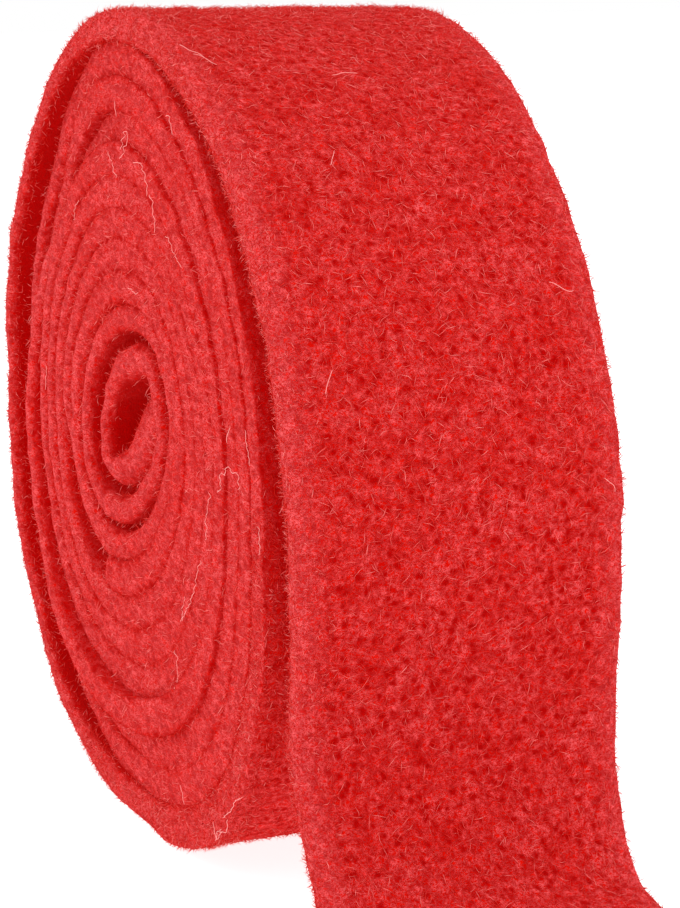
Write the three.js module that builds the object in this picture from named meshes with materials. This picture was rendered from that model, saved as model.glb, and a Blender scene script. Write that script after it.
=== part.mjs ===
// A roll of felt ribbon that stands on its edge. Its outer turn comes over the top, hangs down
// the front and runs out flat on the surface. Millimetres, Z up, X towards the loose end,
// Y along the axis of the roll. The origin is on the surface, under the middle of the roll.
import * as THREE from 'three';

// Ribbon
const RIBBON_WIDTH = 30;
const FELT_THICKNESS = 2.8;
const TURN_SLACK = 0.2;
const CUT_CLEARANCE = 0.3;
const FELT_RED = '#d72f2c';

// Roll
const CENTRE_HEIGHT = 36.4;
const INNER_END_TURN = 11;
const FOOT_TURN = 0.75;
const STEPS_PER_TURN = 48;

// Where the outer turn lets go of the roll, in turns from the front, and how far it stands off there
const LIFT_TURN = 0.14;
const LIFT = 1.5;

// Loose end
const LOOSE_START_TURN = 0.02;
const LOOSE_STEPS = 44;

// Outer side of the winding, from the outer turn to the inner end. Each row is an oval.
// Lobe flattens the top and the foot of the oval against its shoulders.
const WINDING = [
  { turn: 0, x: 0, z: 0, halfLength: 44.3, halfHeight: 40.7, tilt: 0, lobe: 0.026 },
  { turn: 1, x: 0, z: 0.2, halfLength: 41.3, halfHeight: 37.5, tilt: 4, lobe: 0.022 },
  { turn: 9, x: 0.9, z: 2.6, halfLength: 17.8, halfHeight: 12.3, tilt: 19, lobe: 0 },
  { turn: 9.4, x: 0.5, z: 2.3, halfLength: 16.0, halfHeight: 10.7, tilt: 20, lobe: 0 },
  { turn: 10, x: 2.0, z: 2.6, halfLength: 13.8, halfHeight: 7.8, tilt: 24, lobe: 0 },
  { turn: 10.45, x: 3.6, z: 3.5, halfLength: 11.7, halfHeight: 6.8, tilt: 26, lobe: 0 },
  { turn: 11, x: 3.0, z: 3.1, halfLength: 7.0, halfHeight: 4.6, tilt: 26, lobe: 0 },
];

// How much further out than the oval the near and far edges are. Turns after the second repeat
// its rows, less and less up to the turn where the winding is even again.
const RELAXED_TURN = 9;
const EDGE_REACH = [
  { turn: 0.00, near: 2.0, far: 0.0 },
  { turn: 0.06, near: 4.0, far: 1.3 },
  { turn: 0.12, near: 4.4, far: 1.8 },
  { turn: 0.19, near: 2.0, far: 0.9 },
  { turn: 0.25, near: 0.5, far: -0.3 },
  { turn: 0.31, near: -1.4, far: -1.7 },
  { turn: 0.38, near: -2.7, far: -2.4 },
  { turn: 0.50, near: -2.4, far: -2.4 },
  { turn: 0.56, near: -1.2, far: -1.4 },
  { turn: 0.70, near: -0.2, far: -0.2 },
  { turn: 0.75, near: -0.7, far: -0.5 },
  { turn: 0.81, near: 0.4, far: 0.2 },
  { turn: 0.88, near: 0.7, far: 0.5 },
  { turn: 0.94, near: -1.3, far: -0.9 },
  { turn: 1.00, near: -1.7, far: -1.4 },
  { turn: 1.06, near: 0.0, far: 0.0 },
  { turn: 1.13, near: 1.2, far: 0.7 },
  { turn: 1.19, near: 1.5, far: 0.7 },
  { turn: 1.25, near: 1.0, far: 0.0 },
  { turn: 1.38, near: -2.2, far: -2.0 },
  { turn: 1.50, near: -2.3, far: -2.2 },
  { turn: 1.56, near: -1.3, far: -1.3 },
  { turn: 1.75, near: -0.6, far: -0.5 },
  { turn: 1.88, near: 0.5, far: 0.4 },
  { turn: 1.94, near: -1.2, far: -0.9 },
  { turn: 2.00, near: -1.7, far: -1.4 },
];

// How far each stretch of ribbon stands out of the near face of the roll
const STANDING_OUT = [
  { turn: 0, out: 0 },
  { turn: 0.2, out: 0.3 },
  { turn: 0.42, out: 1.6 },
  { turn: 0.6, out: 0.9 },
  { turn: 0.7, out: 0.4 },
  { turn: 1.25, out: 0 },
  { turn: 1.36, out: -0.9 },
  { turn: 1.6, out: -0.9 },
  { turn: 1.85, out: 0.2 },
  { turn: 2.26, out: 0.3 },
  { turn: 2.36, out: -1.1 },
  { turn: 2.6, out: -1.0 },
  { turn: 2.85, out: 0.3 },
  { turn: 3.22, out: 0.2 },
  { turn: 3.36, out: -1.4 },
  { turn: 3.46, out: 1.0 },
  { turn: 3.62, out: 2.0 },
  { turn: 3.8, out: 1.2 },
  { turn: 3.95, out: 0.6 },
  { turn: 9, out: 0.5 },
  { turn: 10.4, out: 0.3 },
  { turn: 11, out: -0.8 },
];

// How much thicker than at rest the felt swells where its turns leave it room
const SWELLING = [
  { turn: 0, times: 1 },
  { turn: 0.9, times: 1 },
  { turn: 1.1, times: 1.4 },
  { turn: 8.3, times: 1.4 },
  { turn: 8.7, times: 1 },
  { turn: 11, times: 0.9 },
];

// Middle of the loose end from the roll down to the surface and out, at its near and far edges
const HANGING = [
  { nearX: 46.4, nearZ: 36.4, farX: 44.3, farZ: 36.4 },
  { nearX: 46.7, nearZ: 31.0, farX: 44.5, farZ: 31.0 },
  { nearX: 46.0, nearZ: 25.0, farX: 43.9, farZ: 25.0 },
  { nearX: 45.1, nearZ: 19.0, farX: 43.2, farZ: 19.0 },
  { nearX: 45.5, nearZ: 16.0, farX: 42.9, farZ: 15.5 },
  { nearX: 46.8, nearZ: 13.2, farX: 43.1, farZ: 12.5 },
  { nearX: 48.1, nearZ: 10.6, farX: 43.7, farZ: 9.7 },
  { nearX: 49.5, nearZ: 7.9, farX: 44.5, farZ: 6.8 },
  { nearX: 51.6, nearZ: 5.2, farX: 45.8, farZ: 3.8 },
  { nearX: 54.4, nearZ: 3.0, farX: 48.0, farZ: 2.0 },
  { nearX: 57.8, nearZ: 1.7, farX: 51.2, farZ: 1.4 },
  { nearX: 61.5, nearZ: 1.4, farX: 54.7, farZ: 1.4 },
  { nearX: 76.5, nearZ: 1.4, farX: 74.5, farZ: 1.4 },
  { nearX: 111.4, nearZ: 1.4, farX: 111.4, farZ: 1.4 },
];

const FULL_TURN = 2 * Math.PI;

// Value of one column of a table at a place between its rows
function column(table, name, turn) {
  const last = table.length - 1;
  if (turn >= table[last].turn) return table[last][name];
  const next = Math.max(1, table.findIndex((row) => row.turn > turn));
  const from = table[next - 1];
  const to = table[next];
  const share = (turn - from.turn) / (to.turn - from.turn);
  return from[name] + (to[name] - from[name]) * share;
}

function edgeReach(turn, side) {
  const lap = turn < 2 ? turn : 1 + (turn % 1);
  const relaxing = Math.min(1, Math.max(0, (RELAXED_TURN - turn) / (RELAXED_TURN - 1)));
  return column(EDGE_REACH, side, lap) * relaxing;
}

// Point on the outer side of one edge of the ribbon, turned once round the roll for each whole turn
function outerPoint(turn, side) {
  const value = (name) => column(WINDING, name, turn);
  const angle = FULL_TURN * turn;
  const fromTilt = angle - THREE.MathUtils.degToRad(value('tilt'));
  const along = Math.cos(fromTilt) / value('halfLength');
  const across = Math.sin(fromTilt) / value('halfHeight');
  const lift = LIFT * Math.max(0, 1 - turn / LIFT_TURN) ** 2;
  const oval = (1 - value('lobe') * Math.sin(3 * angle)) / Math.hypot(along, across);
  const radius = oval + lift + edgeReach(turn, side);
  const x = value('x') + radius * Math.cos(angle);
  const z = CENTRE_HEIGHT + value('z') + radius * Math.sin(angle);
  const lapsOutside = Math.max(0, Math.round(turn - FOOT_TURN));
  const lowest = lapsOutside * (FELT_THICKNESS + TURN_SLACK);
  return new THREE.Vector2(x, Math.max(lowest, z));
}

// The same place on the inner side, kept clear of the next turn
function innerPoint(turn, side) {
  const outer = outerPoint(turn, side);
  const step = 0.5 / STEPS_PER_TURN;
  const ahead = outerPoint(turn + step, side).sub(outerPoint(turn - step, side)).normalize();
  const inwards = new THREE.Vector2(-ahead.y, ahead.x);
  if (turn + 1 > INNER_END_TURN) return outer.addScaledVector(inwards, FELT_THICKNESS);
  const toNext = outerPoint(turn + 1, side).sub(outer);
  const spacing = toNext.dot(inwards);
  const full = FELT_THICKNESS * column(SWELLING, 'times', turn);
  return outer.addScaledVector(toNext, Math.min(full, spacing - TURN_SLACK) / spacing);
}

function standingOut(turn) {
  return column(STANDING_OUT, 'out', Math.max(0, turn));
}

// One station of wound ribbon: outer and inner points of both edges and how far it stands out
function woundStation(turn) {
  const edge = (side) => ({ outer: outerPoint(turn, side), inner: innerPoint(turn, side) });
  return { near: edge('near'), far: edge('far'), out: standingOut(turn) };
}

// Closed strip of ribbon through its stations
function ribbonGeometry(stations) {
  const positions = [];
  const faces = [];
  const half = RIBBON_WIDTH / 2;
  for (const { near, far, out } of stations) {
    positions.push(near.outer.x, -half - out, near.outer.y, far.outer.x, half - out, far.outer.y);
    positions.push(far.inner.x, half - out, far.inner.y, near.inner.x, -half - out, near.inner.y);
  }
  for (let i = 0; i < stations.length - 1; i += 1) {
    for (let side = 0; side < 4; side += 1) {
      const a = 4 * i + side;
      const b = 4 * i + (side + 1) % 4;
      faces.push(a, b, b + 4, a, b + 4, a + 4);
    }
  }
  const end = 4 * (stations.length - 1);
  faces.push(0, 2, 1, 0, 3, 2, end, end + 1, end + 2, end, end + 2, end + 3);
  const geometry = new THREE.BufferGeometry();
  geometry.setAttribute('position', new THREE.Float32BufferAttribute(positions, 3));
  geometry.setIndex(faces);
  geometry.computeVertexNormals();
  return geometry;
}

// The wound ribbon, from just past the cut to its inner end
function rollStations() {
  const first = LOOSE_START_TURN + CUT_CLEARANCE / (FULL_TURN * WINDING[0].halfLength);
  const count = Math.round((INNER_END_TURN - first) * STEPS_PER_TURN);
  const turns = Array.from({ length: count + 1 }, (_, i) => first + (INNER_END_TURN - first) * (i / count));
  return turns.map(woundStation);
}

// Outer and inner points of one edge of the loose end, from its cut up to the roll
function looseEdge(side) {
  const rows = HANGING.map((row) => new THREE.Vector3(row[side + 'X'], 0, row[side + 'Z']));
  const path = new THREE.CatmullRomCurve3(rows, false, 'centripetal');
  const edge = [];
  for (let i = LOOSE_STEPS; i > 0; i -= 1) {
    const middle = path.getPointAt(i / LOOSE_STEPS);
    const ahead = path.getTangentAt(i / LOOSE_STEPS);
    const outwards = new THREE.Vector2(-ahead.z, ahead.x).multiplyScalar(FELT_THICKNESS / 2);
    const outer = new THREE.Vector2(middle.x + outwards.x, middle.z + outwards.y);
    const inner = new THREE.Vector2(middle.x - outwards.x, Math.max(0, middle.z - outwards.y));
    edge.push({ outer, inner });
  }
  return edge;
}

// The loose end, from its flat end on the surface, round the bend and up to the roll
function looseStations() {
  const near = looseEdge('near');
  const far = looseEdge('far');
  const stations = near.map((edge, i) => ({ near: edge, far: far[i], out: 0 }));
  return [...stations, woundStation(0), woundStation(LOOSE_START_TURN)];
}

function feltPiece(name, stations) {
  const material = new THREE.MeshStandardMaterial({ color: FELT_RED, roughness: 1, metalness: 0 });
  const piece = new THREE.Mesh(ribbonGeometry(stations), material);
  piece.name = name;
  return piece;
}

const group = new THREE.Group();
group.add(feltPiece('felt_roll', rollStations()));
group.add(feltPiece('felt_loose_end', looseStations()));

export default group;
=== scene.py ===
"""A roll of thick red felt ribbon with a loose end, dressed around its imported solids."""
import math

import bpy
import numpy as np
from mathutils import Matrix, Vector, noise


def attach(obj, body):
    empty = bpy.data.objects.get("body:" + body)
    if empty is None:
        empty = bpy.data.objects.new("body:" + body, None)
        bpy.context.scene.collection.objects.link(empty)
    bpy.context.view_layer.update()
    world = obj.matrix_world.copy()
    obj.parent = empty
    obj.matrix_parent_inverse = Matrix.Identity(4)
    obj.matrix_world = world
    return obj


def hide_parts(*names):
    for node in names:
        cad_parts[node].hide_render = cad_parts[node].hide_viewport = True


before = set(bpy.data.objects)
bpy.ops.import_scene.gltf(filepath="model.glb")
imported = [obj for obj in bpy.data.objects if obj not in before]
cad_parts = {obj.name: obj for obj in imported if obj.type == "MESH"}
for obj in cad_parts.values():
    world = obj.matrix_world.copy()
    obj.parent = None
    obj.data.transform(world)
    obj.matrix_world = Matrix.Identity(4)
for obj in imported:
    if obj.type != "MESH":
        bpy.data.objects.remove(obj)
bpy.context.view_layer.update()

bl_info = {
    "name": "Felt ribbon roll",
    "version": (1, 0, 0),
    "blender": (4, 5, 0),
    "location": "3D View > Sidebar > Felt ribbon",
    "description": "Makes a roll of needle-punched felt ribbon, its fibres and its studio",
    "category": "Add Mesh",
}


def table(columns, *rows):
    """The rows of a table, each with its values under the names of the columns."""
    return [dict(zip(columns.split(), row)) for row in rows]


MM = 0.001
BODY = "root"

# Shape of the winding in millimetres, from the same values as the solids. CENTRE_HEIGHT is how high
# the roll's middle is. The front of the roll stands out by LIFT at turn 0 and by nothing at LIFT_TURN.
CENTRE_HEIGHT = 36.4
INNER_END_TURN = 11.0
FOOT_TURN = 0.75
LIFT_TURN = 0.14
LIFT = 1.5
WINDING = table(
    "turn x z half_length half_height tilt lobe",
    (0, 0, 0, 44.3, 40.7, 0, 0.026),
    (1, 0, 0.2, 41.3, 37.5, 4, 0.022),
    (9, 0.9, 2.6, 17.8, 12.3, 19, 0),
    (9.4, 0.5, 2.3, 16.0, 10.7, 20, 0),
    (10, 2.0, 2.6, 13.8, 7.8, 24, 0),
    (10.45, 3.6, 3.5, 11.7, 6.8, 26, 0),
    (11, 3.0, 3.1, 7.0, 4.6, 26, 0),
)

# How much further from the middle the near and far edges are than the oval. Turns after the
# second repeat its rows, less and less up to turn RELAXED_TURN.
RELAXED_TURN = 9.0
EDGE_REACH = table(
    "turn near far",
    (0.00, 2.0, 0.3),
    (0.06, 4.0, 1.8),
    (0.12, 4.4, 2.4),
    (0.19, 2.0, 1.1),
    (0.25, 0.4, -0.4),
    (0.31, -1.4, -1.7),
    (0.38, -2.7, -2.4),
    (0.50, -2.4, -2.4),
    (0.56, -1.2, -1.4),
    (0.63, -0.2, -0.5),
    (0.67, 0.2, -0.5),
    (0.72, -0.8, -0.5),
    (0.75, -0.7, -0.5),
    (0.81, 0.4, 0.2),
    (0.88, 0.7, 0.5),
    (0.94, -1.3, -0.9),
    (1.00, -1.7, -1.4),
    (1.06, 0.0, 0.0),
    (1.13, 1.2, 0.7),
    (1.19, 1.5, 0.7),
    (1.25, 1.0, 0.0),
    (1.38, -2.2, -2.0),
    (1.50, -2.3, -2.2),
    (1.56, -1.3, -1.3),
    (1.75, -0.6, -0.5),
    (1.88, 0.5, 0.4),
    (1.94, -1.2, -0.9),
    (2.00, -1.7, -1.4),
)

# How far each stretch stands out of the near face of the roll, in millimetres. The step after
# turn 7.6 is the snag in the cut edge under the eye.
STANDING_OUT = table(
    "turn out",
    (0, 0.0),
    (0.2, 0.3),
    (0.42, 1.6),
    (0.6, 0.9),
    (0.7, 0.4),
    (0.85, 0.1),
    (1.25, 0.0),
    (1.3, -0.6),
    (1.36, -0.9),
    (1.45, -0.5),
    (1.6, -0.9),
    (1.72, -0.2),
    (1.85, 0.2),
    (2.26, 0.3),
    (2.3, -0.2),
    (2.36, -1.1),
    (2.6, -1.0),
    (2.75, -0.2),
    (2.85, 0.3),
    (3.22, 0.2),
    (3.3, -1.3),
    (3.36, -1.4),
    (3.41, 0.0),
    (3.46, 1.0),
    (3.55, 1.5),
    (3.62, 2.0),
    (3.7, 1.9),
    (3.8, 1.2),
    (3.95, 0.6),
    (7.5, 0.5),
    (7.59, -1.0),
    (7.675, -1.3),
    (7.69, 0.9),
    (8.2, 0.6),
    (9.0, 0.4),
    (10.6, 0.3),
    (10.75, -0.5),
    (11, -1.5),
)

# How much thicker than at rest the felt swells where its turns leave it room
SWELLING = table(
    "turn times",
    (0, 1.0),
    (0.25, 1.05),
    (0.45, 1.0),
    (0.65, 1.0),
    (0.75, 1.5),
    (1.0, 1.5),
    (1.15, 1.7),
    (8.3, 1.7),
    (8.7, 1.0),
    (9.2, 0.95),
    (10.1, 0.95),
    (10.25, 1.25),
    (10.4, 1.0),
    (10.6, 0.75),
    (10.8, 1.7),
    (10.9, 2.1),
    (11, 1.6),
)

# Middle of the loose end's near and far edges in millimetres, from the roll down to the surface
# and out
HANGING = table(
    "place near_x near_z far_x far_z",
    (0, 46.4, 36.4, 44.3, 36.4),
    (1, 46.7, 31.0, 44.5, 31.0),
    (2, 46.0, 25.0, 43.9, 25.0),
    (3, 45.1, 19.0, 43.2, 19.0),
    (4, 45.5, 16.0, 42.9, 15.5),
    (5, 46.8, 13.2, 43.1, 12.5),
    (6, 48.1, 10.6, 43.7, 9.7),
    (7, 49.5, 7.9, 44.5, 6.8),
    (8, 51.6, 5.2, 46.6, 3.9),
    (9, 54.4, 3.0, 49.2, 2.2),
    (10, 57.8, 1.7, 54.2, 1.5),
    (11, 61.5, 1.4, 58.4, 1.4),
    (14, 76.5, 1.4, 74.5, 1.4),
    (21, 111.4, 1.4, 111.4, 1.4),
)

# Outer line of the last turn, a loop whose inner end folds back through its middle, in millimetres.
# From LOOP_START the oval turns into it over LOOP_BLEND of a turn.
LOOP_START = 9.86
LOOP_BLEND = 0.12
INNER_LOOP = table(
    "turn x z",
    (9.80, 6.4, 31.4),
    (9.90, 10.8, 33.9),
    (9.96, 13.2, 36.9),
    (10.00, 14.2, 39.5),
    (10.04, 13.4, 42.3),
    (10.08, 12.4, 44.6),
    (10.12, 11.1, 46.4),
    (10.16, 9.0, 47.4),
    (10.22, 5.0, 47.5),
    (10.32, -0.7, 45.9),
    (10.42, -5.0, 42.6),
    (10.50, -7.2, 39.0),
    (10.56, -7.6, 35.9),
    (10.60, -7.1, 34.0),
    (10.64, -5.8, 32.6),
    (10.68, -3.6, 32.1),
    (10.74, 0.2, 32.7),
    (10.80, 3.0, 34.2),
    (10.86, 5.8, 36.3),
    (10.91, 7.9, 38.4),
    (10.96, 8.9, 40.6),
    (11.00, 9.2, 42.6),
)

# How square the cut edge is at the front of the roll: 2 is a half round, more is squarer
EDGE_SQUARENESS = 4.5

# How far, as a share of its thickness, the cut edge felts into the next turn at the front
EDGE_OVERLAP = 0.12

# The least that the turns squeeze the felt to, and the loose end's length along its middle, in
# millimetres
LEAST_THICKNESS = 1.0
HANGING_LENGTH = 97.0

# Lumps in the cut edges, alike over neighbouring turns and each turn's own, and in the ribbon's
# outer side: how high and how long they are in millimetres
EDGE_LUMPS = table(
    "height size",
    (0.2, 9.0),
    (0.14, 2.4),
    (0.1, 0.9),
)
OWN_LUMPS = table(
    "height size",
    (0.14, 7.0),
    (0.12, 2.2),
)
OUTER_LUMPS = table(
    "height size",
    (0.12, 6.0),
    (0.14, 1.6),
)

# How many needle marks, mats of fibre between them and larger fluffy patches go to a millimetre
NEEDLE_MARKS = 0.95
MATS = 1.3
FLUFFY_PATCHES = 0.22

# Layers of fine fibres drawn on the felt in a pale colour, a painted highlight: how each is turned in
# radians, and how fine its grain is to a millimetre on each axis
FIBRE_LAYERS = table(
    "turned grain",
    ((0.25, 0.0, 0.0), (2.8, 1.0, 2.8)),
    ((-0.7, 0.4, 0.2), (2.4, 1.7, 2.4)),
    ((0.9, -0.5, 0.6), (3.4, 2.4, 3.4)),
)

# How wide a drawn fibre is, as a share of its noise's range
DRAWN_WIDTH = 0.042

# Fineness of all that grain along X on the cut edges, against 1 on the ribbon's broad sides
CUT_GRAIN = 0.5

# Points of one section of the ribbon: on its outer side and on its inner side, between its cut edges
OUTER_COLUMNS = 12
INNER_COLUMNS = 4

# The angles in degrees of the points that round a cut edge
CUT_EDGE_ANGLES = (-90, -66, -44, -22, 0, 22, 44, 66, 90)

# Patches of nap: the side of the ribbon, its turns (the loose end is before turn 0), fibres a
# square millimetre, the least and the most lean from upright in degrees, and the length against
# the usual one
NAP = table(
    "name side from_turn to_turn density least_lean most_lean length seed",
    ("nap_loose_end", "outer", -1, 0.0, 3.0, 45, 88, 0.9, 1),
    ("nap_front", "outer", 0.0, 0.3, 5.5, 42, 88, 0.8, 2),
    ("nap_back", "outer", 0.3, 0.93, 1.8, 30, 88, 0.7, 3),
    ("nap_near_rim", "near", -1, 1.0, 9.0, 15, 70, 0.5, 4),
    ("nap_near_edges", "near", 1.0, 11, 1.7, 8, 62, 0.6, 5),
    ("nap_far_rim", "far", -1, 1.0, 6.0, 15, 70, 0.5, 6),
    ("nap_far_edges", "far", 1.0, 11, 0.7, 28, 62, 0.6, 7),
)

# The smallest and largest fibre of the nap against the usual one, how many bends a fibre has to a
# metre, and how high above the floor it stays, in metres
SMALLEST_FIBRE = 0.45
LARGEST_FIBRE = 1.35
CURLS = 1300.0
ABOVE_FLOOR = 0.00002

# The long pale hairs in millimetres: their thickness, how far they lie off the cut edges and off
# the outer side, the step between their points, and the roll's radius where they lie on its outer
# side. HAIR_BEND is how far one may turn at a step, in radians, for a wander of 1.
HAIR_THICKNESS = 0.055
HAIR_HEIGHT = 0.9
TREAD_HAIR_HEIGHT = 0.35
HAIR_STEP = 0.16
TREAD_RADIUS = 43.0
HAIR_BEND = 0.24

# A direction that no hair follows, to lay out the section of a hair
AWRY = (0.3, 0.2, 0.93)

# Long pale hairs that lie on the near face: where one starts, which way it heads (degrees from
# +X towards +Z), how long it is in millimetres and how much it wanders
FACE_HAIRS = table(
    "x z heading length wander",
    (2.4, 65.0, -48, 3.2, 0.3),
    (5.2, 69.8, -85, 1.5, 0.6),
    (6.3, 65.4, 5, 7.5, 2.4),
    (10.5, 64.4, 20, 5.5, 3.0),
    (15.0, 61.9, -40, 3.6, 1.8),
    (18.9, 58.5, -8, 5.2, 0.8),
    (20.6, 69.0, 30, 2.6, 3.0),
    (-10.8, 57.6, 25, 3.4, 2.4),
    (7.0, 52.8, -30, 3.0, 1.2),
    (34.8, 44.1, -110, 2.0, 1.0),
    (38.6, 44.3, -70, 3.0, 0.7),
    (36.3, 38.9, 60, 9.0, 4.2),
    (40.8, 36.6, -40, 2.6, 3.0),
    (26.9, 32.8, 40, 5.0, 1.6),
    (25.3, 30.7, -118, 9.5, 0.7),
    (20.3, 26.4, -112, 2.6, 0.5),
    (16.9, 20.7, -55, 4.8, 2.0),
    (33.9, 11.6, -140, 6.0, 1.0),
    (30.4, 8.6, -130, 5.4, 1.8),
    (28.6, 7.2, -150, 4.0, 2.2),
    (16.8, 7.9, -50, 1.9, 0.8),
    (-24.0, 41.5, -60, 2.8, 2.2),
)

# The same on the outer side of the ribbon: the turn and the place across (-1 near, 1 far) of the
# start, and the heading from across the ribbon towards the roll's top
TREAD_HAIRS = table(
    "turn across heading length wander",
    (0.171, -0.97, -60, 3.0, 2.2),
    (0.164, -0.93, -20, 2.6, 3.0),
    (0.109, -0.43, 40, 1.8, 1.5),
    (0.150, -0.17, 10, 2.6, 1.2),
    (0.039, -0.77, 70, 2.0, 1.0),
    (0.067, 0.70, -10, 2.4, 1.6),
    (0.004, 0.92, 80, 1.6, 2.0),
)

# Strength of the felt's sheen, of the fibres' own glow, painted light that lifts their shaded sides, of
# the floor's and of the light all round
FELT_SHEEN = 0.07
FIBRE_PAINTED_GLOW = 0.28
FLOOR_GLOW = 0.88
LIGHT_ALL_ROUND = 1.0

# The soft box above the front of the roll: its place and size in metres and its power in watts
SOFT_BOX_PLACE = (0.6, -0.3, 0.85)
SOFT_BOX_TARGET = (0, 0, 0.04)
SOFT_BOX_SIZE = 0.5
SOFT_BOX_POWER = 2.9

# The photograph's camera: lens and distance in millimetres, and angles in degrees
CAMERA_LENS = 107.0
CAMERA_DISTANCE = 263.4
CAMERA_AZIMUTH = 69.0
CAMERA_ELEVATION = 10.45
CAMERA_ROLL = -1.66
CAMERA_TARGET = (2.74, 6.14, 34.44)


def linear_colour(hex_code):
    """Turn an sRGB hex colour into the linear one that a shader wants."""
    channels = [int(hex_code[i:i + 2], 16) / 255 for i in (1, 3, 5)]
    linear = [c / 12.92 if c <= 0.04045 else ((c + 0.055) / 1.055) ** 2.4 for c in channels]
    return (*linear, 1.0)


class FeltSettings(bpy.types.PropertyGroup):
    """Sizes and colours of the ribbon, its fibres and the studio."""

    ribbon_width: bpy.props.FloatProperty(
        name="Ribbon width", description="Width of the ribbon between its cut edges",
        default=0.030, min=0.01, max=0.1, unit="LENGTH")
    felt_thickness: bpy.props.FloatProperty(
        name="Felt thickness", description="Thickness of the felt where nothing squeezes it",
        default=0.0028, min=0.001, max=0.006, precision=4, unit="LENGTH")
    turn_slack: bpy.props.FloatProperty(
        name="Turn slack", description="Air between neighbouring turns",
        default=0.00005, min=0, max=0.002, precision=5, unit="LENGTH")
    edge_softness: bpy.props.FloatProperty(
        name="Edge softness", description="How deep the cut edges are rounded",
        default=0.0007, min=0.0002, max=0.0025, precision=4, unit="LENGTH")
    station_step: bpy.props.FloatProperty(
        name="Station step", description="Distance between sections along the ribbon",
        default=0.0008, min=0.0005, max=0.005, precision=4, unit="LENGTH")
    fibre_length: bpy.props.FloatProperty(
        name="Fibre length", description="Length of the loose fibres on the felt",
        default=0.0012, min=0.0003, max=0.01, precision=4, unit="LENGTH")
    fibre_thickness: bpy.props.FloatProperty(
        name="Fibre thickness", description="Thickness of a loose fibre at its root",
        default=0.00007, min=0.00002, max=0.0005, precision=5, unit="LENGTH")
    fibre_curl: bpy.props.FloatProperty(
        name="Fibre curl", description="How far the tips of the fibres stray from straight",
        default=0.0004, min=0, max=0.005, precision=4, unit="LENGTH")
    felt_colour: bpy.props.FloatVectorProperty(
        name="Felt colour", description="Colour of the body of the felt",
        default=linear_colour("#c81204"), size=4, min=0, max=1, subtype="COLOR")
    # Painted shade: the colour that the felt takes in its needle-mark pits, in the grooves between its cut
    # edges and on its sides hidden in the winding
    pit_shade_colour: bpy.props.FloatVectorProperty(
        name="Pit colour", description="Colour deep in the needle marks",
        default=linear_colour("#9c0000"), size=4, min=0, max=1, subtype="COLOR")
    # Painted highlight: the pale colour of the fibres drawn on the felt and of the crowns of its cut edges
    fibre_highlight_colour: bpy.props.FloatVectorProperty(
        name="Fibre colour", description="Colour of the fibres on the felt that catch the light",
        default=linear_colour("#f06c70"), size=4, min=0, max=1, subtype="COLOR")
    stray_colour: bpy.props.FloatVectorProperty(
        name="Stray hair colour", description="Colour of the few long pale hairs and the palest tips",
        default=linear_colour("#ffa09c"), size=4, min=0, max=1, subtype="COLOR")
    # Painted light: a red emission over the whole felt, so that its shade and grooves stay red
    painted_glow_colour: bpy.props.FloatVectorProperty(
        name="Glow colour", description="Light that comes back out of the dyed felt, also in its shade",
        default=linear_colour("#700000"), size=4, min=0, max=1, subtype="COLOR")
    floor_colour: bpy.props.FloatVectorProperty(
        name="Floor colour", description="Colour of the sheet that the roll stands on",
        default=linear_colour("#c4c4c4"), size=4, min=0, max=1, subtype="COLOR")


def settings():
    """The sizes and colours that the panel shows."""
    return bpy.context.scene.felt_settings


def column(rows, name, place, key="turn"):
    """Value of one column of a table at any place between its rows."""
    return np.interp(place, [row[key] for row in rows], [row[name] for row in rows])


def smooth_column(rows, name, place, reach=0.05, key="turn"):
    """The same, averaged a little way to both sides, so that a bend has no corner."""
    place = np.asarray(place, float)
    return np.mean([column(rows, name, place + reach * k / 3, key) for k in range(-3, 4)], axis=0)


def edge_reach(turn, side):
    """How much further out than the oval one edge of the ribbon is, in millimetres."""
    lap = np.where(turn < 2, turn, 1 + turn % 1)
    relaxing = np.clip((RELAXED_TURN - turn) / (RELAXED_TURN - 1), 0, 1)
    return smooth_column(EDGE_REACH, side, lap, reach=0.03) * relaxing


def outer_points(turn, side):
    """Points in millimetres on the outer side of one edge of the ribbon, for an array of turns."""
    turn = np.asarray(turn, float)
    value = {name: smooth_column(WINDING, name, turn) for name in WINDING[0] if name != "turn"}
    angle = 2 * np.pi * turn
    from_tilt = angle - np.radians(value["tilt"])
    oval = np.hypot(np.cos(from_tilt) / value["half_length"], np.sin(from_tilt) / value["half_height"])
    lift = LIFT * np.clip(1 - turn / LIFT_TURN, 0, None) ** 2
    radius = (1 - value["lobe"] * np.sin(3 * angle)) / oval + lift + edge_reach(turn, side)
    x = value["x"] + radius * np.cos(angle)
    z = CENTRE_HEIGHT + value["z"] + radius * np.sin(angle)
    in_loop = np.clip((turn - LOOP_START) / LOOP_BLEND, 0, 1)
    in_loop = in_loop * in_loop * (3 - 2 * in_loop)
    x = x * (1 - in_loop) + smooth_column(INNER_LOOP, "x", turn, reach=0.015) * in_loop
    z = z * (1 - in_loop) + smooth_column(INNER_LOOP, "z", turn, reach=0.015) * in_loop
    # Under the roll, the turns outside it keep each turn that much higher above the floor
    laps_outside = np.clip(np.round(turn - FOOT_TURN), 0, None)
    lap = (settings().felt_thickness + settings().turn_slack) / MM
    return np.stack([x, np.maximum(z, laps_outside * lap)], 1)


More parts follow.
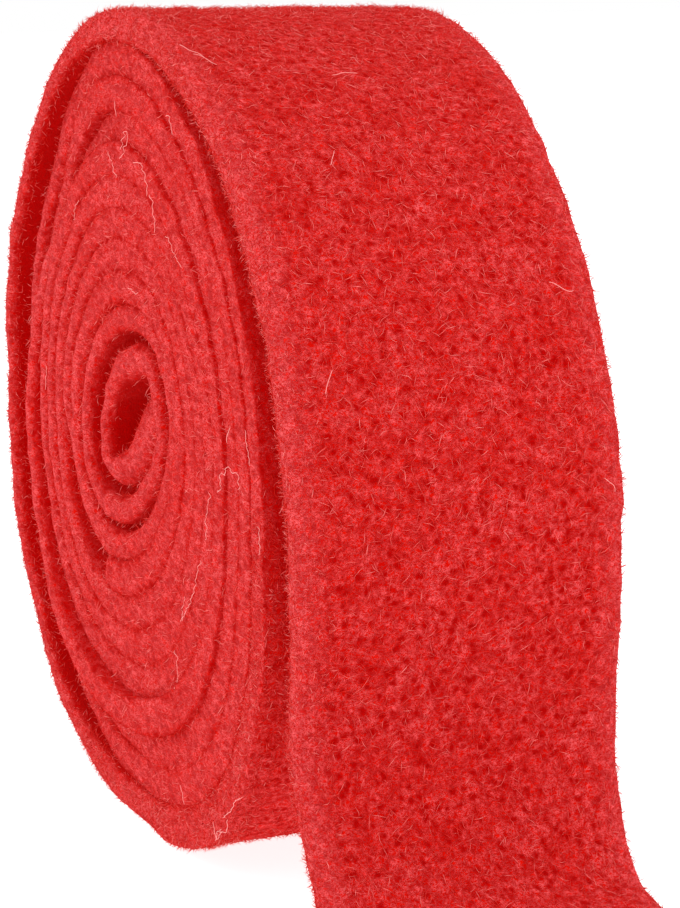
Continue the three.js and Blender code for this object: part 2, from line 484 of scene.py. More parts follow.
def inner_points(turn, side):
    """The other side of the ribbon, kept clear of the next turn."""
    thickness, slack = settings().felt_thickness / MM, settings().turn_slack / MM
    outer = outer_points(turn, side)
    ahead = outer_points(turn + 0.005, side) - outer_points(turn - 0.005, side)
    ahead /= np.linalg.norm(ahead, axis=1)[:, None]
    inwards = np.stack([-ahead[:, 1], ahead[:, 0]], 1)
    to_next = outer_points(np.minimum(turn + 1, INNER_END_TURN), side) - outer
    last_turn = (turn + 1 > INNER_END_TURN)[:, None]
    to_next = np.where(last_turn, inwards * 2 * thickness, to_next)
    spacing = (to_next * inwards).sum(1)
    full = thickness * column(SWELLING, "times", turn)
    depth = np.minimum(np.maximum(spacing - slack, LEAST_THICKNESS), full)
    return outer + to_next * (depth / spacing)[:, None]


def wound_stations():
    """Turns of the stations of the wound ribbon, from the front of the roll to the inner end."""
    fine = np.linspace(0, INNER_END_TURN, 6000)
    steps = np.linalg.norm(np.diff(outer_points(fine, "near"), axis=0), axis=1)
    travel = np.concatenate([[0], np.cumsum(steps)])
    count = int(travel[-1] * MM / settings().station_step)
    return np.interp(np.linspace(0, travel[-1], count + 1), travel, fine)


def loose_sides(side):
    """Outer and inner points of one edge of the loose end, from its cut up to the roll."""
    along = np.linspace(0, HANGING[-1]["place"], 600)
    path = np.stack([smooth_column(HANGING, side + "_" + axis, along, 0.5, "place") for axis in "xz"], 1)
    travel = np.concatenate([[0], np.cumsum(np.linalg.norm(np.diff(path, axis=0), axis=1))])
    count = int(HANGING_LENGTH / (settings().station_step / MM))
    even = np.linspace(0, travel[-1], count)[:0:-1]
    middle = np.stack([np.interp(even, travel, path[:, k]) for k in (0, 1)], 1)
    ahead = np.gradient(middle, axis=0)
    ahead /= np.linalg.norm(ahead, axis=1)[:, None]
    outwards = np.stack([ahead[:, 1], -ahead[:, 0]], 1)
    half = settings().felt_thickness / MM / 2
    return middle + outwards * half, middle - outwards * half


def ribbon_section():
    """Places in one section: across (-1 near to 1 far), through (0 outer to 1 inner), and cap, how far
    out the rounding of a cut edge is there (0 to 1)."""
    angles = [math.radians(a) for a in CUT_EDGE_ANGLES]
    points = [(across, 0.0, 0.0) for across in np.linspace(-1, 1, OUTER_COLUMNS + 2)[1:-1]]
    points += [(1.0, 0.5 + 0.5 * math.sin(a), math.cos(a)) for a in angles]
    points += [(across, 1.0, 0.0) for across in np.linspace(1, -1, INNER_COLUMNS + 2)[1:-1]]
    points += [(-1.0, 0.5 - 0.5 * math.sin(a), math.cos(a)) for a in angles]
    return np.array(points)


def squarer(value, power):
    """The value raised to a power, with its sign kept."""
    return np.sign(value) * np.abs(value) ** power


def lumps(points, rows):
    """How far lumps raise each point of a grid, both in millimetres, by the rows of a table."""
    flat = [Vector(p) for p in points.reshape(-1, 3)]
    raised = sum(row["height"] * np.array([noise.noise(p / row["size"]) for p in flat]) for row in rows)
    return raised.reshape(points.shape[:2])


def ridge_height(turn):
    """How much of a ridge the cut edge is: all of one at the back of the roll, none at its front."""
    height = (0.5 - 0.5 * np.cos(2 * np.pi * (turn + 0.01))) ** 2.5
    # The outermost turn stands out a little at the front too, and the innermost ones all round
    outermost = np.clip((0.7 - turn) * 8, 0, 1) * 0.45
    innermost = np.clip((turn - 6.5) / 3.5, 0, 1) * 0.8
    return np.maximum(height, np.maximum(outermost, innermost))


def ribbon_grid():
    """The whole ribbon, as stations by places in the section: each station's turn, each place's cap,
    and for each point its position and the way through the felt from it, in millimetres."""
    turn = wound_stations()
    sides = {}
    for side in ("near", "far"):
        loose_outer, loose_inner = loose_sides(side)
        outer = np.concatenate([loose_outer, outer_points(turn, side)])
        inner = np.concatenate([loose_inner, inner_points(turn, side)])
        sides[side] = (outer, inner)
    turn = np.concatenate([np.full(len(loose_outer), -0.001), turn])
    out = smooth_column(STANDING_OUT, "out", np.clip(turn, 0, None), reach=0.006)
    across, through, cap = ribbon_section().T
    far_share = ((across + 1) / 2)[None, :, None]
    outer = sides["near"][0][:, None] * (1 - far_share) + sides["far"][0][:, None] * far_share
    inner = sides["near"][1][:, None] * (1 - far_share) + sides["far"][1][:, None] * far_share
    # Soft narrow ridges at the back of the roll, nearly flush edges at its front
    back = ridge_height(turn)[:, None]
    power = 2 / (EDGE_SQUARENESS + (2.0 - EDGE_SQUARENESS) * back)
    soft = settings().edge_softness / MM * (0.12 + 2.1 * back)
    depth = 0.5 + 0.5 * squarer(2 * through - 1, power)
    felted = EDGE_OVERLAP * (1 - back) * np.clip(2 * depth - 1, 0, 1)
    depth = np.where(cap > 0, depth + felted, through)[:, :, None]
    xz = outer + (inner - outer) * depth
    half = settings().ribbon_width / MM / 2
    y = across * (half - soft) + np.sign(across) * squarer(cap, power) * soft - out[:, None]
    points = np.stack([xz[..., 0], y, xz[..., 1]], -1)
    return turn, cap, points, inner - outer


def edge_marks(turn):
    """Per point, how far it is on a cut edge or inside the winding, and how much painted highlight it
    takes on top of a ridge (up to 1) or painted shade down in a groove or on a side hidden in the winding
    (to -1)."""
    across, through, cap = ribbon_section().T
    on_edge = np.abs(across) == 1
    inner_side = ~on_edge & (through == 1)
    # The winding hides the ribbon's inner side from turn 0 on, and its outer side from turn 1 on
    wound = np.where(inner_side[None], turn[:, None] > 0, np.clip(turn[:, None] * 10 - 9, 0, 1))
    # The painted highlights and shade show at least by half everywhere, and in full on the outermost
    # turn's first half
    pale = np.maximum(ridge_height(turn), np.clip(1.5 - turn, 0.5, 1))[:, None]
    # A cut edge takes a painted highlight along its crown and painted shade where it dips to the next
    # turn, but the outer half of the outermost turn's edge is a rim with a painted highlight up to the
    # corner. The sides hidden in the winding take painted shade.
    top = (cap ** 4 - 0.85 * (1 - cap ** 2))[None]
    rim = np.clip((1 - turn) * 8, 0, 1)[:, None] * (through < 0.5)[None]
    ridge = np.where(on_edge[None], pale * (top * (1 - rim) + 0.65 * rim), -0.7 * wound)
    return {"cut_edge": np.where(on_edge[None], 1.0, wound), "ridge": ridge}


def roughened(turn, cap, points, through_felt):
    """The same points with the lumps of cut and wound felt; hidden faces stay as they were."""
    # Each turn's edge takes its own lumps from another place, and shows them where it is a ridge
    apart = np.zeros_like(points)
    apart[..., 1] = np.floor(np.clip(turn, 0, None) + 0.5)[:, None] * 9.0
    edge = lumps(points, EDGE_LUMPS)
    edge += lumps(points + apart, OWN_LUMPS) * (0.15 + 0.85 * ridge_height(turn)[:, None])
    face = lumps(points, OUTER_LUMPS)
    side = np.sign(points[..., 1])
    points = points.copy()
    points[..., 1] += np.where(cap > 0, edge * side, 0)
    shown = (turn < 0.98)[:, None]
    outwards = -through_felt / np.linalg.norm(through_felt, axis=2)[..., None]
    # What is within a quarter of a millimetre of the floor stays flat on it
    on_floor = points[..., 2] < 0.25
    lift = np.where(on_floor, 0, face * shown) * np.where(cap > 0, 0.5, 1.0)
    points[..., 0] += outwards[..., 0] * lift
    points[..., 2] += outwards[..., 1] * lift
    points[..., 2] = np.maximum(points[..., 2], 0)
    return points


def mesh_object(name, vertices, faces):
    """A new object in the scene with a mesh of these vertices, in metres, and faces."""
    mesh = bpy.data.meshes.new(name)
    mesh.from_pydata(vertices, [], faces)
    mesh.validate()
    mesh.update()
    piece = bpy.data.objects.new(name, mesh)
    bpy.context.scene.collection.objects.link(piece)
    return piece


def add_node(tree, kind, links=(), **values):
    """Add one node and link (output, input) pairs to it. A value whose name starts with in_ goes to
    the input of that name or number, and any other to the node's property of that name."""
    node = tree.nodes.new(kind)
    for key, value in values.items():
        if key.startswith("in_"):
            slot = key[3:]
            node.inputs[int(slot) if slot.isdigit() else slot.replace("_", " ")].default_value = value
        else:
            setattr(node, key, value)
    for source, target in links:
        tree.links.new(source, node.inputs[target])
    return node


def new_material(name):
    """An empty material with its Principled shader, ready for nodes."""
    material = bpy.data.materials.new(name)
    material.use_nodes = True
    return material, material.node_tree, material.node_tree.nodes["Principled BSDF"]


def needle_felt():
    """Wool felt matted by barbed needles. The dark in the pits of their marks is painted shade. The pale
    threads are fibres that the needles left lying on top, in looser and denser patches, painted pale as
    highlights. Where the cut edges stand out their crowns take a painted highlight, and the grooves
    between them and the sides hidden in the winding take painted shade. The sheen is the nap's pale edge
    at low angles. The faint red glow is painted light, an emission all over that keeps the grooves and the
    shade red."""
    material, tree, shader = new_material("needle-punched wool felt")
    metres = add_node(tree, "ShaderNodeTexCoord").outputs["Object"]
    cut = add_node(tree, "ShaderNodeAttribute", attribute_name="cut_edge")
    on_cut = add_node(tree, "ShaderNodeMath", [(cut.outputs["Fac"], 0)], operation="GREATER_THAN",
                      in_1=0.99)
    grain = add_node(tree, "ShaderNodeMix", [(on_cut.outputs[0], "Factor")], data_type="VECTOR",
                     in_4=(1 / MM, 1 / MM, 1 / MM), in_5=(CUT_GRAIN / MM, 1 / MM, 1 / MM))
    place = add_node(tree, "ShaderNodeVectorMath", [(metres, 0), (grain.outputs[1], 1)],
                     operation="MULTIPLY").outputs[0]
    swirl = add_node(tree, "ShaderNodeTexNoise", [(place, "Vector")], in_Scale=0.9, in_Detail=3.0)
    bent = add_node(tree, "ShaderNodeVectorMath", [(swirl.outputs["Color"], 0), (place, 2)],
                    operation="MULTIPLY_ADD", in_1=(0.9, 0.9, 0.9)).outputs[0]
    marks = add_node(tree, "ShaderNodeTexVoronoi", [(bent, "Vector")], feature="SMOOTH_F1",
                     in_Scale=NEEDLE_MARKS, in_Smoothness=0.3)
    rim = add_node(tree, "ShaderNodeMapRange", [(marks.outputs["Distance"], "Value")],
                   interpolation_type="SMOOTHSTEP", in_From_Min=0.13, in_From_Max=0.5)
    mats = add_node(tree, "ShaderNodeTexNoise", [(bent, "Vector")], in_Scale=MATS, in_Detail=3.0,
                    in_Roughness=0.65)
    matted = add_node(tree, "ShaderNodeMapRange", [(mats.outputs["Fac"], "Value")],
                      in_From_Min=0.4, in_From_Max=0.6)
    filled = add_node(tree, "ShaderNodeMath", [(matted.outputs[0], 0)], operation="MULTIPLY_ADD",
                      in_1=0.7, in_2=0.3)
    threads = []
    for layer in FIBRE_LAYERS:
        laid = add_node(tree, "ShaderNodeMapping", [(bent, "Vector")], in_Rotation=layer["turned"],
                        in_Scale=layer["grain"])
        wave = add_node(tree, "ShaderNodeTexNoise", [(laid.outputs[0], "Vector")], in_Scale=1.0,
                        in_Detail=2.0, in_Roughness=0.55)
        off = add_node(tree, "ShaderNodeMath", [(wave.outputs["Fac"], 0)], operation="SUBTRACT", in_1=0.5)
        near = add_node(tree, "ShaderNodeMath", [(off.outputs[0], 0)], operation="ABSOLUTE")
        threads.append(add_node(tree, "ShaderNodeMapRange", [(near.outputs[0], "Value")],
                                in_From_Min=0.0, in_From_Max=DRAWN_WIDTH, in_To_Min=1.0,
                                in_To_Max=0.0))
    pair = add_node(tree, "ShaderNodeMath", [(threads[0].outputs[0], 0), (threads[1].outputs[0], 1)],
                    operation="MAXIMUM")
    thread = add_node(tree, "ShaderNodeMath", [(pair.outputs[0], 0), (threads[2].outputs[0], 1)],
                      operation="MAXIMUM")
    level = add_node(tree, "ShaderNodeMath", [(rim.outputs[0], 0), (filled.outputs[0], 1)],
                     operation="MULTIPLY")
    ridge = add_node(tree, "ShaderNodeAttribute", attribute_name="ridge")
    calm = add_node(tree, "ShaderNodeMath", [(cut.outputs["Fac"], 0)], operation="MULTIPLY", in_1=0.06)
    shown = add_node(tree, "ShaderNodeMix", [(calm.outputs[0], "Factor"), (level.outputs[0], 2)],
                     data_type="FLOAT", in_3=0.7)
    # Painted shade in the needle marks: where the level is low the felt turns to the pit shade colour
    dyed = add_node(tree, "ShaderNodeMix", [(shown.outputs[0], "Factor")], data_type="RGBA",
                    in_6=settings().pit_shade_colour, in_7=settings().felt_colour)
    # Painted highlight: the drawn fibres lay the pale fibre colour over the felt, not in the pits, more in
    # the fluffy patches
    drawn = add_node(tree, "ShaderNodeMath", [(thread.outputs[0], 0), (shown.outputs[0], 1)],
                     operation="MULTIPLY")
    patches = add_node(tree, "ShaderNodeTexNoise", [(place, "Vector")], in_Scale=FLUFFY_PATCHES,
                       in_Detail=2.0, in_Roughness=0.6)
    fluffy = add_node(tree, "ShaderNodeMapRange", [(patches.outputs["Fac"], "Value")],
                      in_From_Min=0.36, in_From_Max=0.62, in_To_Min=0.45, in_To_Max=0.85)
    light = add_node(tree, "ShaderNodeMath", [(drawn.outputs[0], 0), (fluffy.outputs[0], 1)],
                     operation="MULTIPLY")
    lit = add_node(tree, "ShaderNodeMix", [(light.outputs[0], "Factor"), (dyed.outputs[2], 6)],
                   data_type="RGBA", in_7=settings().fibre_highlight_colour)
    # Painted highlight along the crowns of the cut edges, grained by the drawn fibres
    crown_highlight_grain = add_node(tree, "ShaderNodeMath", [(thread.outputs[0], 0)], operation="MULTIPLY_ADD",
                      in_1=0.45, in_2=0.12)
    crown_highlight = add_node(tree, "ShaderNodeMath", [(ridge.outputs["Fac"], 0), (crown_highlight_grain.outputs[0], 1)],
                    operation="MULTIPLY")
    crown_highlighted = add_node(tree, "ShaderNodeMix", [(crown_highlight.outputs[0], "Factor"), (lit.outputs[2], 6)],
                     data_type="RGBA", in_7=settings().fibre_highlight_colour)
    # Painted shade in the grooves between the cut edges and on the sides hidden in the winding
    groove_shade = add_node(tree, "ShaderNodeMath", [(ridge.outputs["Fac"], 0)], operation="MULTIPLY", in_1=-1.3)
    felt = add_node(tree, "ShaderNodeMix", [(groove_shade.outputs[0], "Factor"), (crown_highlighted.outputs[2], 6)],
                    data_type="RGBA", in_7=settings().pit_shade_colour)
    relief = add_node(tree, "ShaderNodeMath", [(thread.outputs[0], 0), (shown.outputs[0], 2)],
                      operation="MULTIPLY_ADD", in_1=0.4)
    bump = add_node(tree, "ShaderNodeBump", [(relief.outputs[0], "Height")], in_Strength=0.8,
                    in_Distance=0.0002)
    tree.links.new(felt.outputs[2], shader.inputs["Base Color"])
    tree.links.new(bump.outputs["Normal"], shader.inputs["Normal"])
    shader.inputs["Roughness"].default_value = 1.0
    shader.inputs["Specular IOR Level"].default_value = 0.0
    shader.inputs["Sheen Weight"].default_value = FELT_SHEEN
    # A faint red emission all over the felt: painted light that keeps its shade red
    shader.inputs["Emission Color"].default_value = settings().painted_glow_colour
    shader.inputs["Emission Strength"].default_value = 1.0
    shader.inputs["Sheen Roughness"].default_value = 0.6
    shader.inputs["Sheen Tint"].default_value = linear_colour("#ff8a86")
    return material


def wool_fibre():
    """A dyed wool fibre whose tip is paler than its root, and a few tips very pale. It glows with its own
    colour, painted light that lifts its shaded side."""
    material, tree, shader = new_material("dyed wool fibre, loose on the felt")
    reach = add_node(tree, "ShaderNodeAttribute", attribute_name="reach")
    chance = add_node(tree, "ShaderNodeAttribute", attribute_name="chance")
    rare = add_node(tree, "ShaderNodeMath", [(chance.outputs["Fac"], 0)], operation="POWER", in_1=3.0)
    paler = add_node(tree, "ShaderNodeMath", [(reach.outputs["Fac"], 0), (rare.outputs[0], 1)],
                     operation="MULTIPLY")
    tint = add_node(tree, "ShaderNodeMix", [(paler.outputs[0], "Factor")], data_type="RGBA",
                    in_6=settings().felt_colour, in_7=settings().stray_colour)
    tree.links.new(tint.outputs[2], shader.inputs["Base Color"])
    shader.inputs["Roughness"].default_value = 0.6
    shader.inputs["Specular IOR Level"].default_value = 0.25
    # The fibre's own glow in its colour is painted light, so that its shaded side is not dark
    tree.links.new(tint.outputs[2], shader.inputs["Emission Color"])
    shader.inputs["Emission Strength"].default_value = FIBRE_PAINTED_GLOW
    return material


def fibre_tree():
    """Scatters tapered three-sided fibres over a patch, leans, spins and curls them, and keeps them
    above the floor."""
    tree = bpy.data.node_groups.new("felt nap", "GeometryNodeTree")
    sockets = {"Patch": "NodeSocketGeometry", "Density": "NodeSocketFloat", "Length": "NodeSocketFloat",
               "Thickness": "NodeSocketFloat", "Least lean": "NodeSocketFloat",
               "Most lean": "NodeSocketFloat", "Curl": "NodeSocketFloat", "Seed": "NodeSocketInt",
               "Material": "NodeSocketMaterial"}
    for name, kind in sockets.items():
        tree.interface.new_socket(name, in_out="INPUT", socket_type=kind)
    tree.interface.new_socket("Nap", in_out="OUTPUT", socket_type="NodeSocketGeometry")
    given = add_node(tree, "NodeGroupInput").outputs
    roots = add_node(tree, "GeometryNodeDistributePointsOnFaces",
                     [(given["Patch"], "Mesh"), (given["Density"], "Density"), (given["Seed"], "Seed")])
    # The radius of a triangle whose sides are about as long as the fibre is thick
    radius = add_node(tree, "ShaderNodeMath", [(given["Thickness"], 0)], operation="MULTIPLY", in_1=0.58)
    spike = add_node(tree, "GeometryNodeMeshCone",
                     [(radius.outputs[0], "Radius Bottom"), (given["Length"], "Depth")],
                     in_Vertices=3, in_Side_Segments=2, in_Fill_Segments=1, in_Radius_Top=0.0)
    here = add_node(tree, "GeometryNodeInputPosition")
    parts = add_node(tree, "ShaderNodeSeparateXYZ", [(here.outputs[0], 0)])
    share = add_node(tree, "ShaderNodeMath", [(parts.outputs["Z"], 0), (given["Length"], 1)],
                     operation="DIVIDE")
    marked = add_node(tree, "GeometryNodeStoreNamedAttribute",
                      [(spike.outputs["Mesh"], "Geometry"), (share.outputs[0], "Value")],
                      data_type="FLOAT", domain="POINT", in_Name="reach")
    size = add_node(tree, "FunctionNodeRandomValue", [(given["Seed"], "Seed")], data_type="FLOAT",
                    in_2=SMALLEST_FIBRE, in_3=LARGEST_FIBRE)
    field = add_node(tree, "GeometryNodeInstanceOnPoints",
                     [(roots.outputs["Points"], "Points"), (marked.outputs["Geometry"], "Instance"),
                      (roots.outputs["Rotation"], "Rotation"), (size.outputs[1], "Scale")])
    lean = add_node(tree, "FunctionNodeRandomValue",
                    [(given["Least lean"], 2), (given["Most lean"], 3), (given["Seed"], "Seed")],
                    data_type="FLOAT")
    spin = add_node(tree, "FunctionNodeRandomValue", data_type="FLOAT", in_2=0.0, in_3=2 * math.pi,
                    in_Seed=5)
    angles = add_node(tree, "ShaderNodeCombineXYZ", [(lean.outputs[1], "X"), (spin.outputs[1], "Z")])
    leant = add_node(tree, "GeometryNodeRotateInstances",
                     [(field.outputs["Instances"], "Instances"), (angles.outputs[0], "Rotation")])
    luck = add_node(tree, "FunctionNodeRandomValue", data_type="FLOAT", in_Seed=9)
    rated = add_node(tree, "GeometryNodeStoreNamedAttribute",
                     [(leant.outputs[0], "Geometry"), (luck.outputs[1], "Value")],
                     data_type="FLOAT", domain="INSTANCE", in_Name="chance")
    real = add_node(tree, "GeometryNodeRealizeInstances", [(rated.outputs["Geometry"], "Geometry")])
    tangle = add_node(tree, "ShaderNodeTexNoise", in_Scale=CURLS, in_Detail=1.0)
    centred = add_node(tree, "ShaderNodeVectorMath", [(tangle.outputs["Color"], 0)],
                       operation="SUBTRACT", in_1=(0.5, 0.5, 0.5))
    reach = add_node(tree, "GeometryNodeInputNamedAttribute", data_type="FLOAT", in_Name="reach")
    pull = add_node(tree, "ShaderNodeMath", [(reach.outputs["Attribute"], 0), (given["Curl"], 1)],
                    operation="MULTIPLY")
    # Noise seldom strays further than a third from its middle, so three times it gives the full curl
    full = add_node(tree, "ShaderNodeMath", [(pull.outputs[0], 0)], operation="MULTIPLY", in_1=3.0)
    stray = add_node(tree, "ShaderNodeVectorMath", [(centred.outputs[0], 0), (full.outputs[0], "Scale")],
                     operation="SCALE")
    curled = add_node(tree, "GeometryNodeSetPosition",
                      [(real.outputs["Geometry"], "Geometry"), (stray.outputs[0], "Offset")])
    found = add_node(tree, "ShaderNodeSeparateXYZ",
                     [(add_node(tree, "GeometryNodeInputPosition").outputs[0], 0)])
    above = add_node(tree, "ShaderNodeMath", [(found.outputs["Z"], 0)], operation="MAXIMUM",
                     in_1=ABOVE_FLOOR)
    kept = add_node(tree, "ShaderNodeCombineXYZ",
                    [(found.outputs["X"], "X"), (found.outputs["Y"], "Y"), (above.outputs[0], "Z")])
    laid = add_node(tree, "GeometryNodeSetPosition",
                    [(curled.outputs["Geometry"], "Geometry"), (kept.outputs[0], "Position")])
    soft = add_node(tree, "GeometryNodeSetShadeSmooth", [(laid.outputs["Geometry"], "Geometry")])
    dyed = add_node(tree, "GeometryNodeSetMaterial",
                    [(soft.outputs["Geometry"], "Geometry"), (given["Material"], "Material")])
    out = add_node(tree, "NodeGroupOutput")
    tree.links.new(dyed.outputs["Geometry"], out.inputs["Nap"])
    return tree


def grow_nap(row, vertices, faces, tree, material):
    """A plain mesh of the fibres of one row of NAP, grown on a patch of faces."""
    used = sorted({v for face in faces for v in face})
    new_place = {v: k for k, v in enumerate(used)}
    patch_faces = [tuple(new_place[v] for v in face) for face in faces]
    patch = mesh_object(row["name"], vertices[used] * MM, patch_faces)
    modifier = patch.modifiers.new("nap", "NODES")
    modifier.node_group = tree
    values = {"Density": row["density"] / MM ** 2, "Length": settings().fibre_length * row["length"],
              "Thickness": settings().fibre_thickness, "Least lean": math.radians(row["least_lean"]),
              "Most lean": math.radians(row["most_lean"]), "Curl": settings().fibre_curl,
              "Seed": row["seed"], "Material": material}
    for item in tree.interface.items_tree:
        if item.in_out == "INPUT" and item.name in values:
            modifier[item.identifier] = values[item.name]
    evaluated = patch.evaluated_get(bpy.context.evaluated_depsgraph_get())
    mesh = bpy.data.meshes.new_from_object(evaluated)
    patch.modifiers.clear()
    patch.data = mesh
    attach(patch, BODY)


def ring_faces(station, columns, ring):
    """Faces between one station and the next, over the given columns of the section."""
    base = station * ring
    return [(base + j, base + (j + 1) % ring, base + (j + 1) % ring + ring, base + j + ring)
            for j in columns]


def hair_path(length, heading, wander, seed):
    """Points of a hair in its own plane, in millimetres, that starts at the origin."""
    steps = max(10, int(length / HAIR_STEP))
    angle = math.radians(heading)
    points = [(0.0, 0.0)]
    for k in range(steps):
        angle += wander * noise.noise(Vector((k * 0.19, seed * 7.7, 0))) * HAIR_BEND
        x, z = points[-1]
        points.append((x + math.cos(angle) * length / steps, z + math.sin(angle) * length / steps))
    return np.array(points)


def face_hair(row, seed):
    """A hair that lies just off the near face of the roll."""
    flat = hair_path(row["length"], row["heading"], row["wander"], seed)
    lift = [HAIR_HEIGHT + 0.25 * noise.noise(Vector((k * 0.3, seed, 5))) for k in range(len(flat))]
    near = -settings().ribbon_width / MM / 2
    return np.array([(row["x"] + x, near - rise, row["z"] + z) for (x, z), rise in zip(flat, lift)])


def tread_hair(row, seed):
    """A hair that lies on the outer side of the ribbon."""
    flat = hair_path(row["length"], row["heading"], row["wander"], seed)
    half = settings().ribbon_width / MM / 2
    y = row["across"] * half + flat[:, 0]
    turn = row["turn"] + flat[:, 1] / (2 * math.pi * TREAD_RADIUS)
    share = ((y / half + 1) / 2)[:, None]
    xz = outer_points(turn, "near") * (1 - share) + outer_points(turn, "far") * share
    middle = np.array([0, CENTRE_HEIGHT])
    xz += (xz - middle) / np.linalg.norm(xz - middle, axis=1)[:, None] * TREAD_HAIR_HEIGHT
    return np.stack([xz[:, 0], y, xz[:, 1]], 1)


def hair_tube(path, radius):
    """A closed four-sided tube along a path."""
    vertices, faces = [], []
    for k, point in enumerate(path):
        ahead = path[min(k + 1, len(path) - 1)] - path[max(k - 1, 0)]
        side = np.cross(ahead, AWRY)
        side /= np.linalg.norm(side)
        up = np.cross(side, ahead)
        up /= np.linalg.norm(up)
        taper = radius * (0.45 if k in (0, len(path) - 1) else 1.0)
        vertices += [tuple(point + taper * v) for v in (side, up, -side, -up)]
    for k in range(len(path) - 1):
        faces += ring_faces(k, range(4), 4)
    faces += [(3, 2, 1, 0), tuple(len(vertices) - 4 + j for j in range(4))]
    return vertices, faces


class FELT_OT_ribbon(bpy.types.Operator):
    """Wind the felt ribbon: eleven turns, the hanging stretch and the flat end in one strip"""

    bl_idname = "felt.ribbon"
    bl_label = "Wind ribbon"

    def execute(self, context):
        turn, cap, points, through_felt = ribbon_grid()
        points = roughened(turn, cap, points, through_felt)
        ring = points.shape[1]
        faces = [face for k in range(len(turn) - 1) for face in ring_faces(k, range(ring), ring)]
        faces.append(tuple(range(ring))[::-1])
        last = (len(turn) - 1) * ring
        faces.append(tuple(last + j for j in range(ring)))
        piece = mesh_object("felt_ribbon", points.reshape(-1, 3) * MM, faces)
        piece.data.shade_smooth()
        for name, values in edge_marks(turn).items():
            attribute = piece.data.attributes.new(name, "FLOAT", "POINT")
            attribute.data.foreach_set("value", values.reshape(-1).astype(np.float32))
        piece.data.materials.append(needle_felt())
        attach(piece, BODY)
        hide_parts("felt_roll", "felt_loose_end")
        return {"FINISHED"}


class FELT_OT_nap(bpy.types.Operator):
    """Grow the short matted fibres on the ribbon's outer side and on both cut edges"""

    bl_idname = "felt.nap"
    bl_label = "Grow nap"

    def execute(self, context):
        turn, cap, points, through_felt = ribbon_grid()
        vertices = roughened(turn, cap, points, through_felt).reshape(-1, 3)
        ring = points.shape[1]
        edge = len(CUT_EDGE_ANGLES)
        columns = {"outer": range(OUTER_COLUMNS + 1),
                   "far": range(OUTER_COLUMNS, OUTER_COLUMNS + edge - 1),
                   "near": range(ring - edge, ring)}
        tree = fibre_tree()
        wool = wool_fibre()
        for row in NAP:
            kept = [k for k in range(len(turn) - 1) if row["from_turn"] <= turn[k] < row["to_turn"]]
            faces = [face for k in kept for face in ring_faces(k, columns[row["side"]], ring)]
            grow_nap(row, vertices, faces, tree, wool)
        return {"FINISHED"}


class FELT_OT_hairs(bpy.types.Operator):
    """Lay the few long pale hairs on the near face and on the outer side"""

    bl_idname = "felt.hairs"
    bl_label = "Lay stray hairs"

    def execute(self, context):
        paths = [face_hair(row, seed) for seed, row in enumerate(FACE_HAIRS)]
        paths += [tread_hair(row, 100 + seed) for seed, row in enumerate(TREAD_HAIRS)]
        vertices, faces = [], []
        for path in paths:
            tube_vertices, tube_faces = hair_tube(path, HAIR_THICKNESS / 2)
            faces += [tuple(v + len(vertices) for v in face) for face in tube_faces]
            vertices += tube_vertices
        piece = mesh_object("stray_hairs", np.array(vertices) * MM, faces)
        piece.data.shade_smooth()
        # Wool that took little of the dye: a stray hair shows as a thin pale line on the red
        material, _, shader = new_material("carded wool hair, hardly dyed")
        shader.inputs["Base Color"].default_value = settings().stray_colour
        shader.inputs["Roughness"].default_value = 0.45
        piece.data.materials.append(material)
        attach(piece, BODY)
        return {"FINISHED"}


def soft_box():
    """One square soft box, high in front of the roll."""
    light = bpy.data.lights.new("soft box", "AREA")
    light.shape = "SQUARE"
    light.size = SOFT_BOX_SIZE
    light.energy = SOFT_BOX_POWER
    lamp = bpy.data.objects.new("soft box", light)
    lamp.location = SOFT_BOX_PLACE
    towards = Vector(SOFT_BOX_TARGET) - Vector(SOFT_BOX_PLACE)
    lamp.rotation_euler = towards.to_track_quat("-Z", "Y").to_euler()
    bpy.context.scene.collection.objects.link(lamp)


def photograph_camera():
    """The camera at the photograph's place, turned about its own line of sight as there."""
    camera = bpy.data.cameras.new("photograph camera")
    camera.lens = CAMERA_LENS
    camera.sensor_width = 36
    camera.clip_start = 0.01
    azimuth, elevation = math.radians(CAMERA_AZIMUTH), math.radians(CAMERA_ELEVATION)
    back = Vector((math.sin(azimuth) * math.cos(elevation),
                   -math.cos(azimuth) * math.cos(elevation), math.sin(elevation)))
    turned = back.to_track_quat("Z", "Y").to_matrix().to_4x4()
    rolled = turned @ Matrix.Rotation(math.radians(CAMERA_ROLL), 4, "Z")
    place = (Vector(CAMERA_TARGET) + back * CAMERA_DISTANCE) * MM
    eye = bpy.data.objects.new("photograph camera", camera)
    eye.matrix_world = Matrix.Translation(place) @ rolled
    bpy.context.scene.collection.objects.link(eye)
    return eye


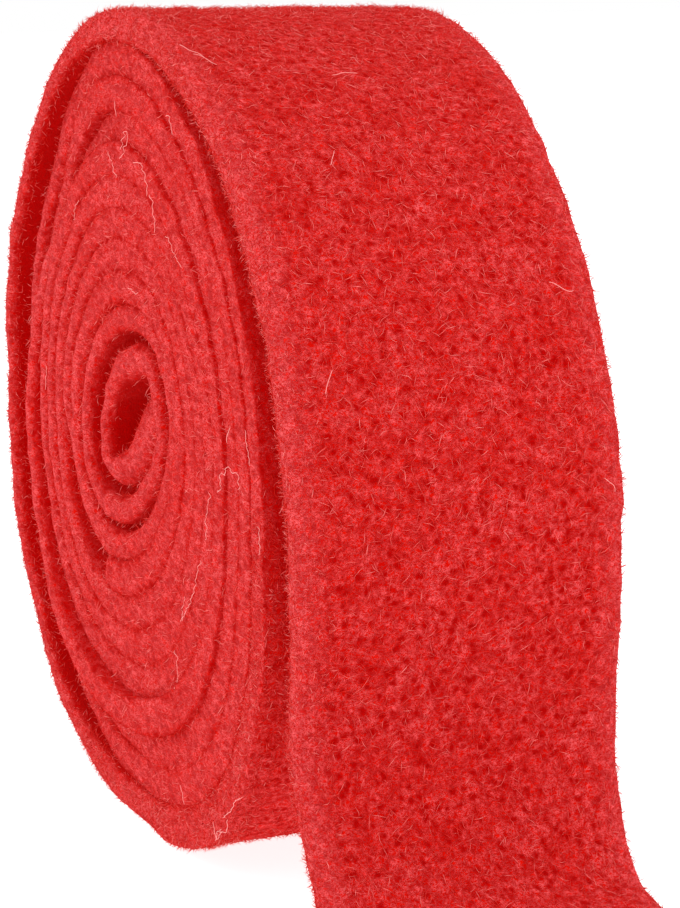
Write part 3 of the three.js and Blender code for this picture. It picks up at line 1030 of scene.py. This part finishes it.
class FELT_OT_stage(bpy.types.Operator):
    """Set up the pale floor, the soft light and the camera"""

    bl_idname = "felt.stage"
    bl_label = "Set stage"

    def execute(self, context):
        scene = context.scene
        floor = mesh_object("floor", [(-3, -3, 0), (3, -3, 0), (3, 3, 0), (-3, 3, 0)], [(0, 1, 2, 3)])
        # Lit from below, so it stays an even white under the roll, with hardly a shadow
        acrylic, _, shader = new_material("sanded opal acrylic, lit from below")
        shader.inputs["Base Color"].default_value = settings().floor_colour
        shader.inputs["Roughness"].default_value = 1.0
        shader.inputs["Emission Color"].default_value = (1, 1, 1, 1)
        shader.inputs["Emission Strength"].default_value = FLOOR_GLOW
        floor.data.materials.append(acrylic)
        world = bpy.data.worlds.new("studio")
        world.use_nodes = True
        world.node_tree.nodes["Background"].inputs["Color"].default_value = (1, 1, 1, 1)
        world.node_tree.nodes["Background"].inputs["Strength"].default_value = LIGHT_ALL_ROUND
        scene.world = world
        soft_box()
        scene.camera = photograph_camera()
        scene.view_settings.view_transform = "Standard"
        return {"FINISHED"}


class FELT_PT_panel(bpy.types.Panel):
    """Sizes and colours of the felt ribbon, and the buttons that make it"""

    bl_idname = "FELT_PT_panel"
    bl_label = "Felt ribbon"
    bl_space_type = "VIEW_3D"
    bl_region_type = "UI"
    bl_category = "Felt ribbon"

    def draw(self, context):
        for name in FeltSettings.__annotations__:
            self.layout.prop(context.scene.felt_settings, name)
        for operator in OPERATORS:
            self.layout.operator(operator.bl_idname)


OPERATORS = (FELT_OT_stage, FELT_OT_ribbon, FELT_OT_nap, FELT_OT_hairs)
CLASSES = (FeltSettings, *OPERATORS, FELT_PT_panel)


def register():
    """Register the classes and give each scene its settings."""
    for item in CLASSES:
        bpy.utils.register_class(item)
    bpy.types.Scene.felt_settings = bpy.props.PointerProperty(type=FeltSettings)


def unregister():
    """Take the settings and the classes out again."""
    del bpy.types.Scene.felt_settings
    for item in reversed(CLASSES):
        bpy.utils.unregister_class(item)


def main():
    """Make the stage, the ribbon, its nap and its stray hairs."""
    register()
    bpy.ops.felt.stage()
    bpy.ops.felt.ribbon()
    bpy.ops.felt.nap()
    bpy.ops.felt.hairs()


if __name__ == "__main__":
    main()
